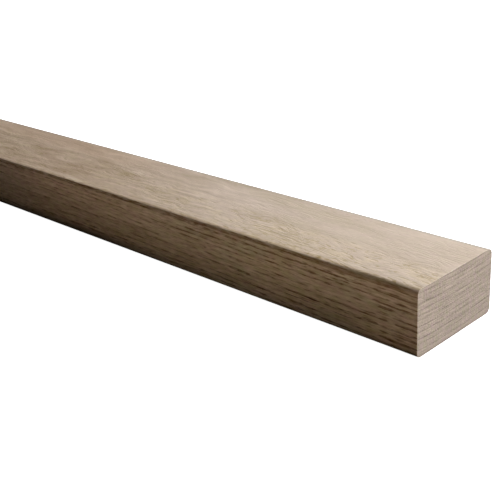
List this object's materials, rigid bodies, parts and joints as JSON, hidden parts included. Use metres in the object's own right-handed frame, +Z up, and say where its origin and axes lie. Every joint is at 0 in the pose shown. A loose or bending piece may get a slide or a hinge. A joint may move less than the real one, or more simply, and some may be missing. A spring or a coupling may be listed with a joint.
{
  "type": "wooden handrail",
  "caption": "Straight solid oak stair handrail of rectangular section, with four eased long edges and square-cut ends.",
  "frame": {"origin": "middle of the flat underside, halfway along the rail", "axes": "+X along the rail, +Y across its width, +Z up through its thickness to the top face"},
  "size_m": [2.4, 0.06, 0.034],
  "materials": {
    "oak": "planed and sanded, unfinished"
  },
  "bodies": {
    "root": {"handrail": "oak"}
  },
  "joints": []
}
